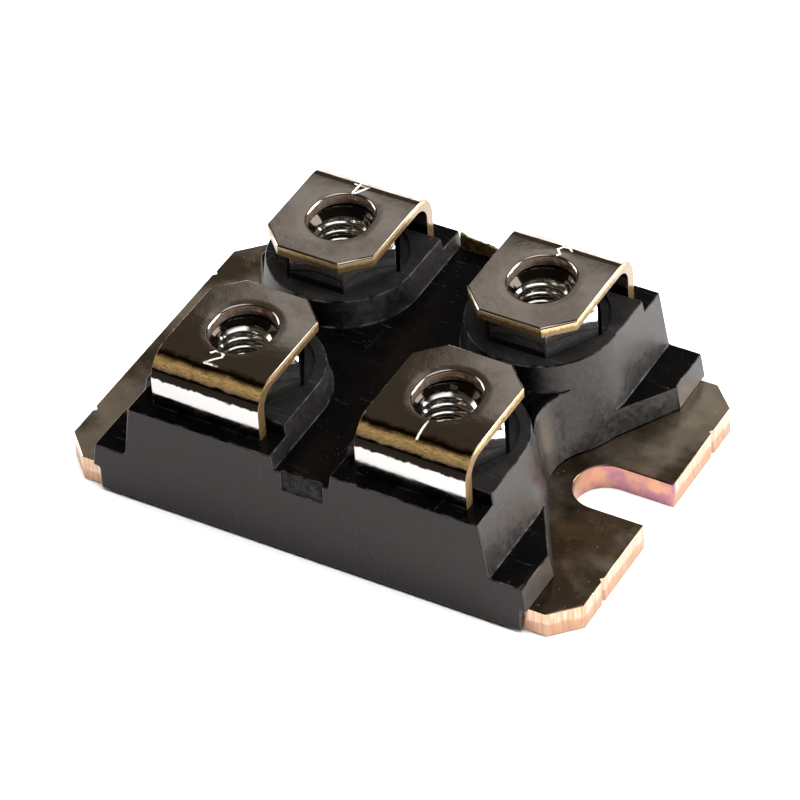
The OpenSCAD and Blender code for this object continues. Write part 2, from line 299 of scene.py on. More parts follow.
@dataclass(frozen=True)
class MouldingFinish:
    """Black epoxy moulding: smooth faces, matt drafted walls, dust, scuffs, rubbed edges with painted
    highlights, faint mould lines and boss tops with painted light.
    """

    dark: Colour = (0.0005, 0.0005, 0.0006)
    pale: Colour = (0.0014, 0.0013, 0.0012)
    matt: Colour = (0.030, 0.029, 0.028)
    # Rubbed wear and painted highlight on the rounded upper edges.
    rub_and_highlight: Colour = (0.045, 0.043, 0.041)
    dust: Colour = (0.42, 0.41, 0.40)
    # Paler colour on the boss tops: painted light.
    painted_top_light: Colour = (0.0110, 0.0107, 0.0105)
    lid_z: float = 9.0
    gloss: float = 0.22
    shine: float = 0.20
    tint: Colour = (1.0, 0.87, 0.84)
    seams: tuple[float, ...] = (-5.2, -3.1, 2.9)

    def make(self) -> bpy.types.Material:
        """Build the material.

        Returns:
            The material.
        """
        g = Graph("black_moulding")
        cloud = g.noise(0.45, 5.0, 0.6)
        grain = g.noise(14.0, 3.0, 0.6)
        wall = g.both(g.ramp(g.size_of(g.nx), 0.22, 0.70), g.ramp(g.size_of(g.nz), 0.60, 0.35))
        blotch = g.ramp(g.noise(2.4, 6.0, 0.7), 0.32, 0.66, 0.30, 1.0)
        matt = g.both(wall, blotch, g.ramp(cloud, 0.3, 0.7, 0.5, 1.0))
        scuff = g.noise(1.0, 6.0, 0.7, g.stretch((0.25, 3.0, 3.0), g.place, (0.3, 0.5, 0.7)))
        scrape = g.noise(1.0, 6.0, 0.7, g.stretch((2.6, 0.2, 2.6), g.place, (0.6, 0.2, -0.5)))
        worn = g.either(g.ramp(scuff, 0.60, 0.68), g.ramp(scrape, 0.62, 0.70))
        wear = g.both(worn, g.ramp(g.noise(0.3, 2.0), 0.40, 0.60), g.ramp(g.size_of(g.ny), 0.96, 0.85))
        specks = g.either(g.specks(1.3, 0.05, 0.08), g.specks(3.1, 0.10, 0.08), g.specks(6.3, 0.16, 0.10))
        dust = g.both(specks, g.either(wall, g.ramp(g.noise(0.22, 3.0), 0.44, 0.62)))
        colour = g.blend(g.ramp(cloud, 0.3, 0.7), self.dark, self.pale)
        colour = g.blend(matt, colour, self.matt)
        # Upward faces at the height of the boss tops are painted paler than the lower channel floor: painted
        # light.
        painted_top_light = g.both(g.ramp(g.nz, 0.93, 0.98), g.ramp(g.z, self.lid_z - 0.3, self.lid_z - 0.1))
        colour = g.blend(g.both(painted_top_light, g.ramp(cloud, 0.3, 0.7, 0.6, 1.0)), colour, self.painted_top_light)
        # Upward-sloping rounded edges are made lighter: rubbed wear and painted edge highlight.
        edge = g.both(g.ramp(g.nz, 0.28, 0.45), g.ramp(g.nz, 0.93, 0.80))
        colour = g.blend(g.both(edge, g.ramp(g.noise(0.9, 4.0, 0.6), 0.38, 0.68)), colour, self.rub_and_highlight)
        colour = g.blend(g.both(wear, 0.05), colour, self.dust)
        colour = g.blend(g.both(dust, 0.4), colour, self.dust)
        rough = g.calc("ADD", g.ramp(cloud, 0.3, 0.7, self.gloss, self.gloss + 0.09), g.both(wear, 0.12))
        rough = g.calc("ADD", rough, g.both(matt, 0.25))
        line: Value = 0.0
        for seam in self.seams:
            line = g.either(line, g.ramp(g.size_of(g.calc("SUBTRACT", g.x, seam)), 0.06, 0.02))
        line = g.both(line, g.ramp(g.ny, -0.90, -0.96), g.ramp(g.noise(0.7, 3.0), 0.35, 0.6))
        normal = g.bump(grain, 0.25, 0.012, g.bump(cloud, 0.10, 0.08))
        normal = g.bump(g.calc("SUBTRACT", 1.0, line), 0.5, 0.02, normal)
        shine = g.calc("ADD", g.ramp(g.nz, 0.5, 0.9, self.shine, 0.5 * self.shine), g.both(wall, 0.22))
        return g.finish(Base_Color=colour, Roughness=rough, Specular_IOR_Level=shine, Specular_Tint=self.tint,
                        Normal=normal)


@dataclass(frozen=True)
class PlateFinish:
    """Nickel-plated copper plate with cloudy plating and bare sheared edges."""

    nickel: Colour = (0.62, 0.52, 0.40)
    brown: Colour = (0.15, 0.105, 0.068)
    gold: Colour = (0.58, 0.44, 0.28)
    cream: Colour = (0.54, 0.44, 0.33)
    copper: Colour = (0.44, 0.225, 0.135)
    violet: Colour = (0.29, 0.125, 0.16)
    shear_z: float = 1.05
    slot_half: float = 2.3
    slot_start: float = 12.0

    def make(self) -> bpy.types.Material:
        """Build the material.

        Returns:
            The material.
        """
        g = Graph("plated_plate")
        cloud = g.noise(0.16, 5.0, 0.55, twist=0.3)
        stain = g.noise(0.5, 4.0, 0.6)
        speck = g.either(g.specks(1.1, 0.10, 0.18), g.specks(2.9, 0.15, 0.12))
        top = g.blend(g.ramp(cloud, 0.40, 0.62), self.nickel, self.brown)
        top = g.blend(g.both(g.ramp(stain, 0.5, 0.72), 0.5), top, self.gold)
        top = g.blend(g.both(speck, 0.8), top, (0.9, 0.88, 0.84))
        side = g.ramp(g.size_of(g.nz), 0.75, 0.45)
        drag = g.noise(1.0, 4.0, 0.6, g.stretch((5.0, 5.0, 0.5), g.place))
        torn = g.noise(5.0, 4.0, 0.7)
        ragged = g.calc("ADD", g.z, g.both(g.noise(0.8, 3.0), 0.9))
        burst = g.ramp(ragged, self.shear_z + 0.6, self.shear_z + 0.25)
        in_slot = g.both(g.ramp(g.size_of(g.y), self.slot_half + 0.1, self.slot_half),
                         g.ramp(g.x, self.slot_start, self.slot_start + 0.3))
        burst = g.both(burst, g.calc("SUBTRACT", 1.0, in_slot))
        edge = g.blend(g.ramp(drag, 0.3, 0.7), self.cream, self.copper)
        edge = g.blend(g.both(burst, 0.45), edge, self.copper)
        sheen = g.blend(g.ramp(g.noise(0.6, 3.0), 0.40, 0.62), self.copper, self.violet)
        edge = g.blend(in_slot, edge, sheen)
        colour = g.blend(side, top, edge)
        plate_rough = g.ramp(g.noise(0.4, 4.0), 0.3, 0.7, 0.13, 0.30)
        edge_rough = g.ramp(burst, 0.0, 1.0, 0.24, 0.46)
        rough = g.calc("MULTIPLY_ADD", side, g.calc("SUBTRACT", edge_rough, plate_rough), plate_rough)
        normal = g.bump(g.both(torn, side, burst), 0.8, 0.10)
        normal = g.bump(g.both(drag, side), 0.35, 0.05, normal)
        normal = g.bump(g.noise(1.6, 5.0, 0.6), 0.12, 0.03, normal)
        metal = g.ramp(g.x, -12.0, 2.0, 0.93, 1.0)
        return g.finish(Base_Color=colour, Roughness=rough, Metallic=metal, Normal=normal)


class Strip(Graph):
    """Nodes of a terminal's material, with masks and patterns for the regions of the bent strip."""

    def __init__(self, name: str, hole_r: float, hole_run: float) -> None:
        """Start the material and mark the regions.

        Args:
            name: Name of the material.
            hole_r: Radius of the oblong hole.
            hole_run: How far the hole is drawn out, to both sides.
        """
        super().__init__(name)
        self.along = self.size_of(self.y)
        self.across = self.size_of(self.calc("SUBTRACT", self.size_of(self.x), SCREW[0]))
        self.rim = self.calc("SUBTRACT", self.reach(self.x, self.y, SCREW, hole_run), hole_r)
        self.cloud = self.noise(0.35, 4.0, 0.6)
        self.drag = self.noise(1.0, 4.0, 0.6, self.stretch((3.0, 3.0, 0.8), self.place))
        self.mark_bend()
        self.mark_cuts()
        self.mark_digit()

    def mark_bend(self) -> None:
        """Mark the tinted and grained bands of the bend, and a band of painted dark reflection below them."""
        wave = self.calc("SUBTRACT", self.noise(1.1, 4.0, 0.6), 0.5)
        ragged = self.calc("ADD", self.nz, self.both(wave, 0.16))
        wave = self.calc("SUBTRACT", self.noise(2.6, 4.0, 0.7), 0.5)
        frayed = self.calc("ADD", ragged, self.both(wave, 0.22))
        outer = self.ramp(self.along, BEND_Y, BEND_Y + 0.5)
        above = self.both(outer, self.ramp(ragged, 0.50, 0.58))
        self.crack = self.noise(1.0, 5.0, 0.7, self.stretch((2.4, 13.0, 13.0), self.place), 0.4)
        self.tint = self.both(above, self.ramp(ragged, 0.97, 0.90))
        self.bend = self.both(above, self.ramp(ragged, 0.88, 0.72))
        # Dark band on the outer bend below the gold band: painted dark reflection.
        self.painted_reflection_band = self.both(outer, self.ramp(ragged, 0.66, 0.56), self.ramp(frayed, 0.15, 0.20))
        band = self.both(self.ramp(ragged, 0.92, 0.78), self.ramp(ragged, 0.46, 0.74))
        self.grain = self.both(band, self.ramp(self.crack, 0.26, 0.66))

    def mark_cuts(self) -> None:
        """Mark the wall of the hole, the cut edges and the painted dark reflection on their lower part."""
        upright = self.ramp(self.size_of(self.nz), 0.55, 0.30)
        upper = self.ramp(self.z, LUG_TOP - 1.0, LUG_TOP - 0.9)
        self.bore = self.both(upright, upper, self.ramp(self.rim, 0.2, 0.1))
        sides = self.either(self.ramp(self.size_of(self.nx), 0.45, 0.6), self.ramp(self.along, 6.2, 6.0))
        self.cut = self.both(upright, sides, self.calc("SUBTRACT", 1.0, self.bore))
        # The lower part of the cut edges is darker: painted dark reflection.
        self.dark_edge_reflection = self.ramp(self.calc("ADD", self.z, self.both(self.drag, 0.5)), LUG_TOP, LUG_TOP - 0.22)

    def mark_digit(self) -> None:
        """Mark what is stamped below the bent surface, beside the hole."""
        over = self.calc("MAXIMUM", self.calc("SUBTRACT", self.along, BEND_Y), 0.0)
        skin = self.calc("MAXIMUM", self.calc("SUBTRACT", BEND_R ** 2, self.both(over, over)), 0.0)
        skin = self.calc("ADD", self.calc("SQRT", skin), LUG_TOP - BEND_R)
        sunk = self.calc("SUBTRACT", skin, self.z)
        deep = self.both(self.ramp(sunk, 0.006, 0.016), self.ramp(sunk, 0.20, 0.15))
        field = self.both(self.ramp(self.along, 10.6, 10.5), self.ramp(self.along, 8.0, 8.1))
        field = self.both(field, self.ramp(self.across, 1.4, 1.3), self.ramp(self.rim, 0.19, 0.22))
        self.stamped = self.both(deep, field, self.ramp(self.noise(1.7, 3.0), 0.30, 0.55, 0.3, 1.0))


@dataclass(frozen=True)
class TerminalFinish:
    """Bright nickel strip with a grained bend, a drawn-in hole rim and bare cut edges, with painted dark
    reflections on the bend and the lower cut edges; lengths in mm.
    """

    nickel: Colour = (0.66, 0.585, 0.52)
    dull: Colour = (0.54, 0.465, 0.40)
    leg: Colour = (0.45, 0.44, 0.43)
    gold: Colour = (0.40, 0.26, 0.095)
    brown: Colour = (0.085, 0.050, 0.022)
    # Painted dark reflection on the bend, below the gold band.
    painted_dark_reflection: Colour = (0.010, 0.007, 0.005)
    cut: Colour = (0.56, 0.41, 0.20)
    # Colour of the lower part of the cut edges: painted dark reflection.
    torn: Colour = (0.13, 0.07, 0.03)
    copper: Colour = (0.46, 0.24, 0.15)
    scratch: Colour = (0.88, 0.85, 0.80)
    hole_r: float = 2.1
    hole_run: float = 0.3
    crown: float = 0.016
    crown_y: float = 6.0

    def colour(self, g: Strip) -> Socket:
        """Give the colour of the strip.

        Args:
            g: Nodes of the material.

        Returns:
            The colour.
        """
        fine = g.noise(1.0, 6.0, 0.75, g.stretch((0.6, 9.0, 4.0), g.place, (0, 0, 0.9)))
        speck = g.either(g.specks(1.5, 0.09, 0.22), g.specks(3.7, 0.16, 0.10))
        marks = g.either(g.both(g.ramp(fine, 0.60, 0.68), 0.3), speck)
        plate = g.blend(g.ramp(g.cloud, 0.35, 0.7), self.nickel, self.dull)
        plate = g.blend(g.both(marks, 0.7), plate, self.scratch)
        plate = g.blend(g.ramp(g.size_of(g.ny), 0.75, 0.95), plate, self.leg)
        # Darken the bend below the gold band: painted dark reflection.
        plate = g.blend(g.painted_reflection_band, plate, self.painted_dark_reflection)
        plate = g.blend(g.tint, plate, g.blend(g.grain, self.brown, self.gold))
        sheared = g.blend(g.ramp(g.drag, 0.55, 0.80), self.cut, self.copper)
        # Cut edges get darker towards their lower part: painted dark reflection.
        colour = g.blend(g.cut, plate, g.blend(g.both(g.dark_edge_reflection, 0.85), sheared, self.torn))
        colour = g.blend(g.bore, colour, g.blend(g.ramp(g.drag, 0.3, 0.7), self.copper, self.dull))
        return g.blend(g.stamped, colour, self.scratch)

    def normal(self, g: Strip) -> Socket:
        """Bend the normal by grain, the drawn-in rim, waves and a slight crown.

        Args:
            g: Nodes of the material.

        Returns:
            The normal.
        """
        normal = g.bump(g.both(g.crack, g.bend), 0.6, 0.05)
        normal = g.bump(g.both(g.drag, g.either(g.cut, g.bore)), 0.4, 0.05, normal)
        normal = g.bump(g.ramp(g.rim, -0.1, 0.7), 0.40, 0.07, normal)
        normal = g.bump(g.noise(0.55, 4.0, 0.55), 0.20, 0.10, normal)
        front = g.ramp(g.y, 0.0, -1.0)
        fall = g.calc("MAXIMUM", g.calc("SUBTRACT", g.along, self.crown_y), 0.0)
        crown = g.both(g.calc("ADD", g.both(fall, fall), g.both(g.across, g.across, front, 0.35)), -1.0)
        lean = g.both(g.calc("MAXIMUM", g.x, 0.0), front, 0.9)
        lean = g.calc("ADD", lean, g.calc("MAXIMUM", g.both(g.x, -2.4), 0.0))
        waves = g.both(g.noise(0.07, 1.0), 8.0)
        return g.bump(g.calc("ADD", g.calc("ADD", crown, lean), waves), 1.0, self.crown, normal)

    def make(self) -> bpy.types.Material:
        """Build the material.

        Returns:
            The material.
        """
        g = Strip("nickel_terminal", self.hole_r, self.hole_run)
        rough = g.ramp(g.cloud, 0.3, 0.7, 0.07, 0.15)
        rough = g.calc("ADD", rough, g.both(g.either(g.cut, g.bend, g.stamped), 0.16))
        shares = ((g.bend, 0.65), (g.cut, 0.38), (g.bore, 0.15), (g.stamped, 0.6))
        metal = g.calc("SUBTRACT", 1.0, g.either(*[g.both(mask, share) for mask, share in shares]))
        return g.finish(Base_Color=self.colour(g), Roughness=rough, Metallic=metal, Normal=self.normal(g))


@dataclass(frozen=True)
class MottledFinish:
    """Plain metal, ceramic or broken moulding with a mottled colour and uneven gloss.

    Attributes:
        name: Name of the material.
        base: Main colour.
        mottle: Colour of the patches.
        rough: Lowest and highest roughness.
        metallic: 1 for metal, 0 for other stuff.
        scale: Patches per mm.
        shine: Mirror strength of stuff that isn't metal.
    """

    name: str
    base: Colour
    mottle: Colour
    rough: tuple[float, float]
    metallic: float = 1.0
    scale: float = 1.2
    shine: float = 0.5

    def tone(self, g: Graph) -> Socket:
        """Give the mottled colour."""
        return g.blend(g.ramp(g.noise(self.scale, 4.0, 0.6), 0.35, 0.7), self.base, self.mottle)

    def make(self) -> bpy.types.Material:
        """Build the material.

        Returns:
            The material.
        """
        g = Graph(self.name)
        rough = g.ramp(g.noise(3.0 * self.scale, 3.0), 0.3, 0.7, *self.rough)
        normal = g.bump(g.noise(6.0 * self.scale, 4.0), 0.12, 0.02)
        return g.finish(Base_Color=self.tone(g), Roughness=rough, Metallic=self.metallic,
                        Specular_IOR_Level=self.shine, Normal=normal)


@dataclass(frozen=True)
class NutFinish(MottledFinish):
    """Bright nut metal with painted shadow in the countersink above the thread; lengths in mm."""

    # Painted shadow in the countersink, under the terminal.
    painted_shadow: Colour = (0.06, 0.05, 0.042)
    sink_r: float = 2.4
    sink: tuple[float, float] = (10.50, 10.66)

    def tone(self, g: Graph) -> Socket:
        """Give the mottled colour, with painted shadow in the countersink."""
        near = g.ramp(g.reach(g.x, g.y, SCREW), self.sink_r + 0.1, self.sink_r)
        # Darken the countersink: painted shadow.
        return g.blend(g.both(near, g.ramp(g.z, *self.sink)), super().tone(g), self.painted_shadow)


class Inner(Enum):
    """Finishes of the hidden stack, of the nuts and of the gate breaks."""

    NUT = NutFinish("nut_nickel", (0.92, 0.90, 0.87), (0.80, 0.77, 0.73), (0.05, 0.12), 0.98)
    SOLDER = MottledFinish("solder", (0.60, 0.61, 0.62), (0.48, 0.49, 0.50), (0.35, 0.55))
    COPPER = MottledFinish("bare_copper", (0.75, 0.42, 0.27), (0.58, 0.30, 0.19), (0.25, 0.42))
    CERAMIC = MottledFinish("white_ceramic", (0.86, 0.85, 0.80), (0.78, 0.77, 0.72), (0.55, 0.7), 0.0)
    SILICON = MottledFinish("metallised_silicon", (0.42, 0.43, 0.46), (0.34, 0.35, 0.39), (0.10, 0.2))
    WIRE = MottledFinish("drawn_aluminium", (0.82, 0.82, 0.82), (0.70, 0.70, 0.71), (0.2, 0.34))
    BREAK = MottledFinish("broken_moulding", (0.004, 0.004, 0.004), (0.024, 0.022, 0.020), (0.45, 0.75),
                          0.0, 2.6, 0.08)
    STUB = MottledFinish("gate_stub", (0.085, 0.060, 0.024), (0.014, 0.010, 0.005), (0.5, 0.8), 0.0, 1.8, 0.2)


@dataclass(frozen=True)
class Zone:
    """Round region of a piece, alike in its four quarters, where edges are rounded more or less.

    Attributes:
        centre: Distance of its axis from the middle planes, in mm.
        radius: Radius of the region in mm.
        low: Lowest height of the region in mm.
        inside: Share of the edge width in the region.
        outside: Share of the edge width elsewhere.
    """

    centre: tuple[float, float]
    radius: float
    low: float
    inside: float
    outside: float = 1.0


@dataclass(frozen=True)
class EdgeRound:
    """Rounded edges and clean shading, made by modifiers on a piece.

    Attributes:
        width: Width of a fully rounded edge in mm, or 0 for none.
        zones: Regions with another width.
        angle: Smallest angle of an edge that is rounded, in degrees.
        full: Angle from which an edge is fully rounded, in degrees.
        segments: Number of faces across a rounded edge.
        smooth: Smallest angle of an edge that stays sharp in the shading, in degrees.
        even: Whether large faces lead the shading.
        merge: Distance up to which points are joined, in mm.
        flat: Largest angle of a needless edge, in degrees.
    """

    width: float
    zones: tuple[Zone, ...] = ()
    angle: float = 28.0
    full: float = 50.0
    segments: int = 3
    smooth: float = 40.0
    even: bool = True
    merge: float = 0.002
    flat: float = 0.6

    def weld(self, piece: bpy.types.Object) -> None:
        """Join the loose triangles of a CAD mesh and take out needless edges.

        Args:
            piece: Object to change.
        """
        weld = piece.modifiers.new("weld", "WELD")
        weld.merge_threshold = self.merge * MM
        flat = piece.modifiers.new("flat", "DECIMATE")
        flat.decimate_type = "DISSOLVE"
        flat.angle_limit = math.radians(self.flat)

    def round_off(self, piece: bpy.types.Object) -> None:
        """Bevel the sharp edges by their weight.

        Args:
            piece: Object to change.
        """
        weigh = piece.modifiers.new("weigh", "NODES")
        weigh.node_group = edge_weights(self)
        edge = piece.modifiers.new("edge", "BEVEL")
        edge.width = self.width * MM
        edge.segments = self.segments
        edge.profile = 0.5
        edge.limit_method = "WEIGHT"
        edge.use_clamp_overlap = False
        edge.miter_outer = "MITER_ARC"

    def shade(self, piece: bpy.types.Object) -> None:
        """Shade a piece smooth between its sharp edges, with its flat faces kept flat.

        Args:
            piece: Object to change.
        """
        shade = piece.modifiers.new("shade", "NODES")
        shade.node_group = smooth_by_angle(self.smooth)
        if self.even:
            piece.modifiers.new("even", "WEIGHTED_NORMAL").keep_sharp = True

    def finish(self, piece: bpy.types.Object, material: bpy.types.Material,
               tool: bpy.types.Object | None = None) -> None:
        """Weld, round off, shade and dress a CAD piece.

        Args:
            piece: Object to change.
            material: Its material.
            tool: Closed mesh to cut out of it.
        """
        self.weld(piece)
        if self.width > 0.0:
            self.round_off(piece)
        if tool is not None:
            carve(piece, tool, "DIFFERENCE")
        self.shade(piece)
        dress(piece, material)
        LOG.info("%s: dressed", piece.name)


class Field(Nodes):
    """Geometry node group that takes a mesh and gives it back changed."""

    def __init__(self, name: str) -> None:
        """Start an empty group.

        Args:
            name: Name of the group.
        """
        super().__init__(bpy.data.node_groups.new(name, "GeometryNodeTree"))
        for way in ("INPUT", "OUTPUT"):
            self.tree.interface.new_socket("Geometry", in_out=way, socket_type="NodeSocketGeometry")
        self.start, self.end = self.add("NodeGroupInput"), self.add("NodeGroupOutput")

    def chain(self, *nodes: bpy.types.Node) -> None:
        """Pass the mesh through some nodes.

        Args:
            *nodes: The nodes in order.
        """
        run = (self.start, *nodes, self.end)
        for first, second in zip(run, run[1:]):
            self.feed(second.inputs[0], first.outputs[0])


def edge_weights(look: EdgeRound) -> bpy.types.NodeTree:
    """Make the node group that weighs the edges of a piece by angle and region.

    Args:
        look: Widths, angles and regions of the piece.

    Returns:
        The node group.
    """
    field = Field("edge_weights")
    bend = field.add("GeometryNodeInputMeshEdgeAngle")
    weight = field.ramp(bend.outputs["Unsigned Angle"], math.radians(look.angle), math.radians(look.full))
    x, y, z = field.split(field.add("GeometryNodeInputPosition").outputs[0])
    for zone in look.zones:
        near = field.calc("LESS_THAN", field.reach(x, y, [at * MM for at in zone.centre]), zone.radius * MM)
        within = field.both(near, field.calc("GREATER_THAN", z, zone.low * MM))
        share = field.calc("MULTIPLY_ADD", within, zone.inside - zone.outside, zone.outside)
        weight = field.both(weight, share)
    store = field.add("GeometryNodeStoreNamedAttribute", data_type="FLOAT", domain="EDGE")
    store.inputs["Name"].default_value = "bevel_weight_edge"
    field.feed(store.inputs["Value"], weight)
    field.chain(store)
    return field.tree


def smooth_by_angle(angle: float) -> bpy.types.NodeTree:
    """Give the node group that shades a mesh smooth, but for its sharp edges.

    Args:
        angle: Smallest angle of a sharp edge, in degrees.

    Returns:
        The node group.
    """
    field = Field("smooth_by_angle")
    clear = field.add("GeometryNodeRemoveAttribute")
    clear.inputs["Name"].default_value = "custom_normal"
    faces = field.add("GeometryNodeSetShadeSmooth", domain="FACE")
    edges = field.add("GeometryNodeSetShadeSmooth", domain="EDGE")
    edges.inputs["Shade Smooth"].default_value = False
    bend = field.add("GeometryNodeInputMeshEdgeAngle")
    sharp = field.calc("GREATER_THAN", bend.outputs["Unsigned Angle"], math.radians(angle))
    field.feed(edges.inputs["Selection"], sharp)
    field.chain(clear, faces, edges)
    return field.tree


def dress(piece: bpy.types.Object, material: bpy.types.Material) -> None:
    """Give a piece one material.

    Args:
        piece: Object to dress.
        material: Its material.
    """
    piece.data.materials.clear()
    piece.data.materials.append(material)


def new_piece(name: str, bm: bmesh.types.BMesh) -> bpy.types.Object:
    """Turn a mesh in mm into an object in metres.

    Args:
        name: Name of the object.
        bm: Mesh, freed afterwards.

    Returns:
        The new object, at the origin.
    """
    bmesh.ops.scale(bm, vec=(MM, MM, MM), verts=bm.verts)
    mesh = bpy.data.meshes.new(name)
    bm.to_mesh(mesh)
    bm.free()
    piece = bpy.data.objects.new(name, mesh)
    bpy.context.scene.collection.objects.link(piece)
    return piece


def carve(piece: bpy.types.Object, tool: bpy.types.Object, operation: str) -> None:
    """Add a Boolean modifier with a hidden tool.

    Args:
        piece: Object to change.
        tool: Closed mesh that changes it.
        operation: DIFFERENCE or INTERSECT.
    """
    tool.hide_render = True
    cut = piece.modifiers.new(tool.name, "BOOLEAN")
    cut.operation = operation
    cut.object = tool
    cut.solver = "EXACT"
    cut.use_self = True


def settle(piece: bpy.types.Object, tools: Sequence[bpy.types.Object]) -> None:
    """Apply a piece's modifiers and delete the tools they used.

    Args:
        piece: Object whose mesh becomes final.
        tools: Objects to delete.
    """
    graph = bpy.context.evaluated_depsgraph_get()
    done = bpy.data.meshes.new_from_object(piece.evaluated_get(graph))
    old = piece.data
    piece.modifiers.clear()
    piece.data = done
    bpy.data.meshes.remove(old)
    for tool in tools:
        bpy.data.meshes.remove(tool.data)


@dataclass
class HousingLook:
    """Black moulding: rounded edges and finish."""

    edge: EdgeRound = EdgeRound(0.14, (Zone(SCREW, 4.5, 7.0, 0.0),))

    def build(self) -> None:
        """Dress the housing."""
        self.edge.finish(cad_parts["housing"], MouldingFinish().make())


@dataclass
class PlateLook:
    """Base plate: softened edges and plating."""

    edge: EdgeRound = EdgeRound(0.09, (Zone((19.0, 7.8), 0.8, -1.0, 0.3),))

    def build(self) -> None:
        """Dress the base plate."""
        self.edge.finish(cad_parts["base_plate"], PlateFinish().make())


class Digit(Enum):
    """Strokes of a stamped digit, in mm from its middle."""

    ONE = (((0.0, 0.86), (0.0, -0.86)),)
    TWO = (((-0.46, 0.32), (-0.30, 0.56), (0.05, 0.62), (0.38, 0.47), (0.40, 0.21), (0.05, -0.14),
            (-0.44, -0.59), (0.48, -0.59)),)
    THREE = (((-0.44, 0.56), (-0.20, 0.80), (0.22, 0.76), (0.42, 0.44), (0.10, 0.06), (0.46, -0.34),
              (0.24, -0.74), (-0.20, -0.80), (-0.48, -0.52)),)
    FOUR = (((0.18, -0.82), (0.18, 0.82), (-0.48, -0.28), (0.50, -0.28)),)


@dataclass
class TerminalLook:
    """One screw terminal: stamped digit, softened edges and plating.

    Attributes:
        node: Name of the CAD node.
        digit: Digit stamped beside the hole.
        centre: Middle of the digit in mm.
        turned: Whether the digit is read from the back.
    """

    node: str
    digit: Digit
    centre: tuple[float, float]
    turned: bool
    groove: float = 0.09
    step: float = 0.3
    depth: float = 0.07
    edge: EdgeRound = EdgeRound(
        0.18, (Zone(SCREW, 2.7, 11.8, 1.0, 0.30), Zone((SCREW[0], -2.0), 5.9, 11.8, 3.0)))

    def stroke(self, bm: bmesh.types.BMesh, first: Vector, second: Vector) -> None:
        """Add one grooving wedge between two points, let down where the strip bends.

        Args:
            bm: Mesh that takes the wedge.
            first: Start of the stroke, in mm.
            second: End of the stroke, in mm.
        """
        run = second - first
        made = bmesh.ops.create_cone(bm, cap_ends=True, segments=8, radius1=0.35 * self.groove,
                                     radius2=1.6 * self.groove, depth=2.0 * self.depth)["verts"]
        ahead = [v for v in made if v.co.x > 0.0]
        bmesh.ops.translate(bm, vec=(run.length, 0, 0), verts=ahead)
        turn = Matrix.Rotation(math.atan2(run.y, run.x), 4, "Z")
        bmesh.ops.transform(bm, matrix=Matrix.Translation((first.x, first.y, LUG_TOP)) @ turn, verts=made)
        for v in made:
            over = max(abs(v.co.y) - BEND_Y, 0.0)
            v.co.z -= BEND_R - math.sqrt(BEND_R ** 2 - over ** 2)

    def stamp(self) -> bpy.types.Object:
        """Build the tool that cuts the digit.

        Returns:
            The hidden tool.
        """
        bm = bmesh.new()
        way = -1.0 if self.turned else 1.0
        middle = Vector(self.centre)
        for line in self.digit.value:
            points = [middle + way * Vector(point) for point in line]
            for first, second in zip(points, points[1:]):
                count = math.ceil((second - first).length / self.step)
                marks = [first.lerp(second, k / count) for k in range(count + 1)]
                for pair in zip(marks, marks[1:]):
                    self.stroke(bm, *pair)
        return new_piece(f"stamp_{self.node}", bm)

    def build(self, material: bpy.types.Material) -> None:
        """Stamp the terminal and dress it with its plating."""
        self.edge.finish(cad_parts[self.node], material, self.stamp())


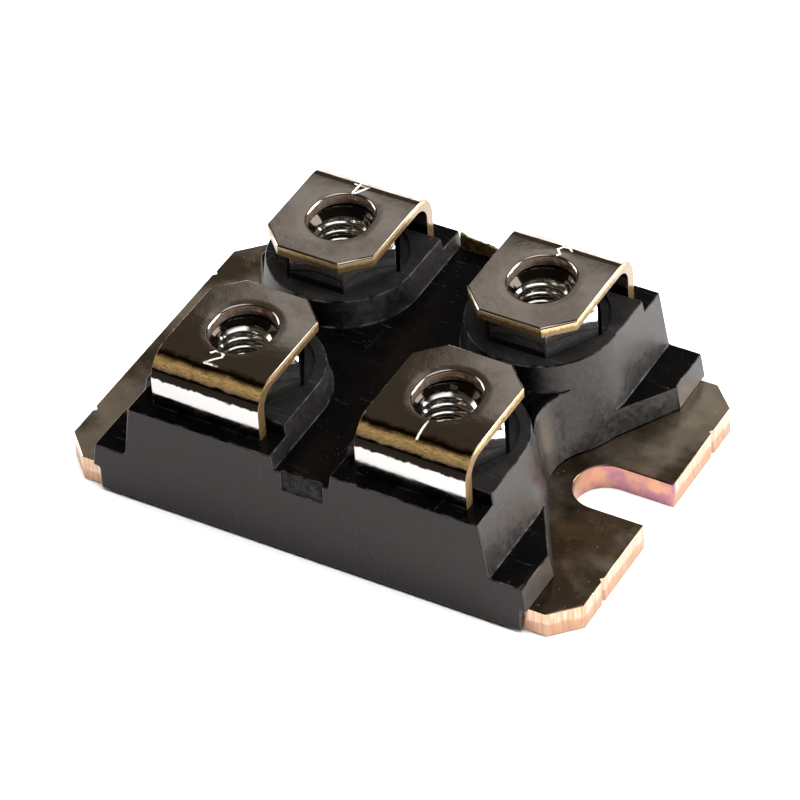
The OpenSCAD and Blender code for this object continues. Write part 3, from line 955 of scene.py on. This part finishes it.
@dataclass
class NutLook:
    """Hexagonal nuts with a turned thread, in place of the plain CAD nuts; sizes in mm."""

    flats: float = 7.0
    height: float = 3.2
    bottom: float = 7.9
    pitch: float = 0.7
    root_r: float = 2.0
    crest_r: float = 1.65
    entry_r: float = 2.22
    face_share: float = 0.95
    spare: float = 0.5
    margin: float = 0.1
    steps: int = 64
    edge: EdgeRound = EdgeRound(0.05, angle=20.0, full=28.0, segments=2, smooth=11.0, even=False)

    @property
    def corner(self) -> float:
        """Give the distance from the axis to a corner."""
        return self.flats / 2 / math.cos(math.pi / 6)

    def lathe(self, name: str, profile: Sequence[tuple[float, float]]) -> bpy.types.Object:
        """Turn a closed round blank.

        Args:
            name: Name of the object.
            profile: Radius and height of each point, from axis to axis.

        Returns:
            The blank.
        """
        bm = bmesh.new()
        points = [bm.verts.new((r, 0, z)) for r, z in profile]
        lines = [bm.edges.new(pair) for pair in zip(points, points[1:])]
        bmesh.ops.spin(bm, geom=points + lines, cent=(0, 0, 0), axis=(0, 0, 1), angle=2 * math.pi,
                       steps=2 * self.steps, use_merge=True)
        bmesh.ops.remove_doubles(bm, verts=bm.verts, dist=1e-5)
        bmesh.ops.recalc_face_normals(bm, faces=bm.faces)
        return new_piece(name, bm)

    def hexagon(self) -> bpy.types.Object:
        """Build the hexagonal bar of a nut.

        Returns:
            The bar, standing on z = 0.
        """
        bm = bmesh.new()
        place = Matrix.Translation((0, 0, self.height / 2)) @ Matrix.Rotation(math.pi / 6, 4, "Z")
        bmesh.ops.create_cone(bm, cap_ends=True, segments=6, radius1=self.corner, radius2=self.corner,
                              depth=self.height, matrix=place)
        return new_piece("nut_bar", bm)

    def thread(self) -> bpy.types.Object:
        """Build a threaded rod that cuts the thread of a nut.

        Returns:
            The closed rod, longer than the nut.
        """
        bm = bmesh.new()
        share = self.pitch / 8
        profile = ((self.crest_r, 0), (self.crest_r, 2 * share), (self.root_r, 4.5 * share),
                   (self.root_r, 5.5 * share), (self.crest_r, 8 * share))
        points = [bm.verts.new((r, 0, z)) for r, z in profile]
        lines = [bm.edges.new(pair) for pair in zip(points, points[1:])]
        turns = math.ceil(self.height / self.pitch) + 4
        bmesh.ops.spin(bm, geom=points + lines, cent=(0, 0, 0), axis=(0, 0, 1), angle=2 * math.pi * turns,
                       dvec=(0, 0, self.pitch / self.steps), steps=self.steps * turns)
        bmesh.ops.remove_doubles(bm, verts=bm.verts, dist=1e-3)
        bmesh.ops.translate(bm, vec=(0, 0, -2 * self.pitch), verts=bm.verts)
        for level, way in ((-self.spare, -1.0), (self.height + self.spare, 1.0)):
            bmesh.ops.bisect_plane(bm, geom=bm.verts[:] + bm.edges[:] + bm.faces[:], dist=1e-6,
                                   plane_co=(0, 0, level), plane_no=(0, 0, way), clear_outer=True)
            rim = [e for e in bm.edges if e.is_boundary and all(abs(v.co.z - level) < 1e-4 for v in e.verts)]
            bmesh.ops.holes_fill(bm, edges=rim, sides=0)
        bmesh.ops.recalc_face_normals(bm, faces=bm.faces)
        return new_piece("nut_tap", bm)

    def one(self) -> bpy.types.Object:
        """Build one nut on the axis.

        Returns:
            The nut, standing on z = 0.
        """
        face = self.face_share * self.flats / 2
        slope = math.tan(math.pi / 6)
        wide = self.corner + self.margin
        high = (self.corner - face) * slope + self.margin * slope
        blank = self.lathe("nut_blank", ((0, 0), (face, 0), (wide, high), (wide, self.height - high),
                                         (face, self.height), (0, self.height)))
        sink, end, spare = self.entry_r, self.height + self.spare, self.spare
        drill = self.lathe("nut_drill", ((0, self.height - sink), (sink + spare, end), (0, end)))
        under = self.lathe("nut_under", ((0, -spare), (sink + spare, -spare), (0, sink)))
        nut = self.hexagon()
        tap = self.thread()
        carve(nut, blank, "INTERSECT")
        for tool in (tap, drill, under):
            carve(nut, tool, "DIFFERENCE")
        settle(nut, (blank, tap, drill, under))
        return nut

    def build(self) -> None:
        """Set four nuts in place of the CAD nuts and dress them."""
        single = self.one()
        bm = bmesh.new()
        for sx in (-1, 1):
            for sy in (-1, 1):
                before = set(bm.verts)
                bm.from_mesh(single.data)
                added = [v for v in bm.verts if v not in before]
                where = Matrix.Translation((sx * SCREW[0] * MM, sy * SCREW[1] * MM, self.bottom * MM))
                turn = Matrix.Rotation(math.pi if sy > 0 else 0.0, 4, "Z")
                bmesh.ops.transform(bm, matrix=where @ turn, verts=added)
        bmesh.ops.scale(bm, vec=(1 / MM, 1 / MM, 1 / MM), verts=bm.verts)
        nuts = new_piece("threaded_nuts", bm)
        bpy.data.meshes.remove(single.data)
        self.edge.round_off(nuts)
        self.edge.shade(nuts)
        dress(nuts, Inner.NUT.value.make())
        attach(nuts, BODY)
        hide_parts("terminal_nuts")
        LOG.info("threaded_nuts: four nuts in place of terminal_nuts")


@dataclass
class GateBreak:
    """Rough face or stub left where the moulding was broken off its gate; lengths in mm.

    Attributes:
        name: Name of the piece.
        low: Corner with the lowest coordinates.
        high: Corner with the highest coordinates.
        side: 1 for the back of the module, -1 for the front.
        relief: Height of the roughness.
        lean: How far the right end is lower than the left end.
        finish: Its finish.
    """

    name: str
    low: tuple[float, float, float]
    high: tuple[float, float, float]
    side: int
    relief: float
    lean: float
    finish: Inner
    cuts: int = 15
    waves: tuple[float, float] = (1.3, 5.0)

    def roughen(self, v: bmesh.types.BMVert) -> None:
        """Move one point of the block by a share of the roughness.

        Args:
            v: Point to move.
        """
        share = [(v.co[k] - self.low[k]) / (self.high[k] - self.low[k]) for k in range(3)]
        outward = share[1] if self.side > 0 else 1.0 - share[1]
        coarse = noise.noise(self.waves[0] * v.co)
        fine = noise.noise(self.waves[1] * v.co + Vector((9.0, 4.0, 2.0)))
        bite = max(self.relief * (0.6 + 0.8 * coarse + 0.6 * fine), 0.0)
        v.co.y -= self.side * outward * bite * (0.4 + 1.2 * abs(share[2] - 0.35))
        v.co.z -= share[2] * (0.8 * bite + self.lean * share[0])

    def build(self) -> None:
        """Build and dress the break."""
        bm = bmesh.new()
        middle = [(a + b) / 2 for a, b in zip(self.low, self.high)]
        size = [b - a for a, b in zip(self.low, self.high)]
        bmesh.ops.create_cube(bm, size=1.0, matrix=Matrix.Translation(middle) @ Matrix.Diagonal((*size, 1.0)))
        bmesh.ops.subdivide_edges(bm, edges=bm.edges, cuts=self.cuts, use_grid_fill=True)
        for v in bm.verts:
            self.roughen(v)
        bmesh.ops.recalc_face_normals(bm, faces=bm.faces)
        piece = new_piece(self.name, bm)
        dress(piece, self.finish.value.make())
        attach(piece, BODY)
        LOG.info("%s: rough break", self.name)


@dataclass
class StackLook:
    """Layers, dies and wires inside the moulding."""

    edge: EdgeRound = EdgeRound(0.02)
    layers: tuple[tuple[Inner, tuple[str, ...]], ...] = (
        (Inner.SOLDER, ("plate_solder", "die_solder_1", "die_solder_2", "foot_solder")),
        (Inner.COPPER, ("substrate_copper", "cathode_pad_1", "cathode_pad_2", "anode_pad_1", "anode_pad_2")),
        (Inner.CERAMIC, ("substrate_ceramic",)),
        (Inner.SILICON, ("diode_die_1", "diode_die_2")),
        (Inner.WIRE, ("bond_wires_1", "bond_wires_2")))

    def build(self) -> None:
        """Dress every hidden piece; the round wires have no edges to round off."""
        for finish, names in self.layers:
            material = finish.value.make()
            edge = EdgeRound(0.0) if finish is Inner.WIRE else self.edge
            for name in names:
                edge.finish(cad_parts[name], material)


@dataclass(frozen=True)
class Lobe:
    """Bright patch of the room, or a dark one where its glow is below zero.

    Attributes:
        way: Direction of its middle.
        start: Cosine of the angle where it fades out.
        end: Cosine of the angle where it is full.
        glow: Its brightness.
    """

    way: tuple[float, float, float]
    start: float
    end: float
    glow: float

    def light(self, nodes: Nodes, way: Socket) -> Socket:
        """Give the light of the patch in a direction.

        Args:
            nodes: Nodes of the world.
            way: Direction that is looked in.

        Returns:
            Its brightness there.
        """
        along = nodes.add("ShaderNodeVectorMath", operation="DOT_PRODUCT")
        nodes.feed(along.inputs[0], way)
        nodes.feed(along.inputs[1], self.way)
        return nodes.ramp(along.outputs["Value"], self.start, self.end, 0.0, self.glow)


@dataclass(frozen=True)
class SoftBox:
    """Soft square lamp that faces the part.

    Attributes:
        name: Name of the lamp.
        place: Its middle, in metres.
        side: Length of its sides, in metres.
        power: Power in watts.
        shine: Whether bright metal mirrors it.
    """

    name: str
    place: tuple[float, float, float]
    side: float
    power: float
    shine: bool

    def hang(self) -> None:
        """Hang the lamp."""
        data = bpy.data.lights.new(self.name, "AREA")
        data.size = self.side
        data.energy = self.power
        lamp = bpy.data.objects.new(self.name, data)
        lamp.location = self.place
        lamp.rotation_mode = "QUATERNION"
        lamp.rotation_quaternion = Vector(self.place).to_track_quat("Z", "Y")
        lamp.visible_glossy = self.shine
        lamp.visible_camera = False
        bpy.context.scene.collection.objects.link(lamp)


@dataclass
class Studio:
    """Pale floor, soft light from above and the photograph's camera."""

    floor_side: float = 4.0
    floor_colour: Colour = (0.90, 0.90, 0.90)
    azimuth: float = math.radians(31.797)
    elevation: float = math.radians(41.013)
    roll: float = -0.07076
    distance: float = 0.31316
    pan: tuple[float, float] = (-0.000174, 0.002830)
    lens: float = 213.18
    boxes: tuple[SoftBox, ...] = (
        SoftBox("top_box", (0.0, 0.0, 0.62), 0.55, 7.0, False),
        SoftBox("right_box", (0.52, 0.10, 0.24), 0.35, 7.0, False),
        SoftBox("back_box", (0.36, 0.384, 0.27), 0.30, 2.0, True),
        SoftBox("left_box", (-0.58, 0.06, 0.12), 0.22, 0.8, True))
    ambient: Colour = (0.056, 0.045, 0.034)
    lobes: tuple[Lobe, ...] = (
        Lobe((-0.26, 0.74, 0.62), 0.972, 0.993, 0.30), Lobe((0.25, 0.10, 0.963), 0.90, 0.96, 1.3),
        Lobe((-0.87, 0.0, 0.49), 0.93, 0.975, 1.7), Lobe((-0.398, -0.656, 0.641), 0.80, 0.95, -0.024))

    def floor(self) -> None:
        """Lay the floor under the part."""
        bm = bmesh.new()
        bmesh.ops.create_grid(bm, x_segments=1, y_segments=1, size=self.floor_side / 2 / MM)
        floor = new_piece("studio_floor", bm)
        g = Graph("pale_floor")
        tone = g.blend(g.noise(0.02, 2.0), self.floor_colour, tuple(0.98 * c for c in self.floor_colour))
        dress(floor, g.finish(Base_Color=tone, Roughness=0.9))

    def room(self) -> None:
        """Set a dark brown room with a few bright patches."""
        world = bpy.data.worlds.new("dim_room")
        world.use_nodes = True
        nodes = Nodes(world.node_tree)
        way = nodes.add("ShaderNodeTexCoord").outputs["Generated"]
        glow: Value = self.ambient
        for lobe in self.lobes:
            total = nodes.add("ShaderNodeVectorMath", operation="ADD")
            nodes.feed(total.inputs[0], lobe.light(nodes, way))
            nodes.feed(total.inputs[1], glow)
            glow = total.outputs[0]
        sky = world.node_tree.nodes["Background"]
        nodes.feed(sky.inputs["Color"], glow)
        nodes.feed(sky.inputs["Strength"], 1.0)
        bpy.context.scene.world = world

    def camera(self) -> None:
        """Set up the camera of the photograph."""
        flat = math.cos(self.elevation)
        side, ahead = math.sin(self.azimuth), math.cos(self.azimuth)
        back = Vector((side * flat, -ahead * flat, math.sin(self.elevation)))
        level = Vector((ahead, side, 0.0))
        up = back.cross(level)
        right = math.cos(self.roll) * level + math.sin(self.roll) * up
        above = math.cos(self.roll) * up - math.sin(self.roll) * level
        data = bpy.data.cameras.new("photo_camera")
        data.lens = self.lens
        data.sensor_width = 36.0
        data.clip_start = 0.01
        camera = bpy.data.objects.new("photo_camera", data)
        turn = Matrix((right, above, back)).transposed().to_4x4()
        camera.matrix_world = Matrix.Translation(
            back * self.distance + right * self.pan[0] + above * self.pan[1]) @ turn
        bpy.context.scene.collection.objects.link(camera)
        bpy.context.scene.camera = camera

    def build(self) -> None:
        """Set up floor, light and camera."""
        self.floor()
        for box in self.boxes:
            box.hang()
        self.room()
        self.camera()
        bpy.context.scene.view_settings.view_transform = "Standard"
        LOG.info("studio: floor, light and camera")


def terminals() -> list[TerminalLook]:
    """List the four terminals with their digits.

    Returns:
        The terminals.
    """
    return [
        TerminalLook("terminal_1", Digit.ONE, (7.6, -9.8), False),
        TerminalLook("terminal_2", Digit.TWO, (-7.68, -9.55), False),
        TerminalLook("terminal_3", Digit.THREE, (7.5, 9.15), True),
        TerminalLook("terminal_4", Digit.FOUR, (-7.8, 9.5), True)]


def gate_breaks() -> list[GateBreak]:
    """List the breaks at both ends of the cross channel.

    Returns:
        The breaks.
    """
    return [
        GateBreak("front_gate_break", (-1.48, -12.56, 5.57), (1.48, -12.28, 6.98), -1,
                  relief=0.10, lean=0.0, finish=Inner.BREAK),
        GateBreak("back_gate_stub", (-1.85, 12.10, 6.95), (1.15, 12.33, 8.30), 1,
                  relief=0.10, lean=0.45, finish=Inner.STUB)]


def main() -> None:
    """Build and dress the pieces in order."""
    logging.basicConfig(level=logging.INFO, format="%(name)s %(message)s")
    Studio().build()
    PlateLook().build()
    HousingLook().build()
    plating = TerminalFinish().make()
    for terminal in terminals():
        terminal.build(plating)
    NutLook().build()
    for gate in gate_breaks():
        gate.build()
    StackLook().build()
    bpy.context.view_layer.update()


if __name__ == "__main__":
    main()
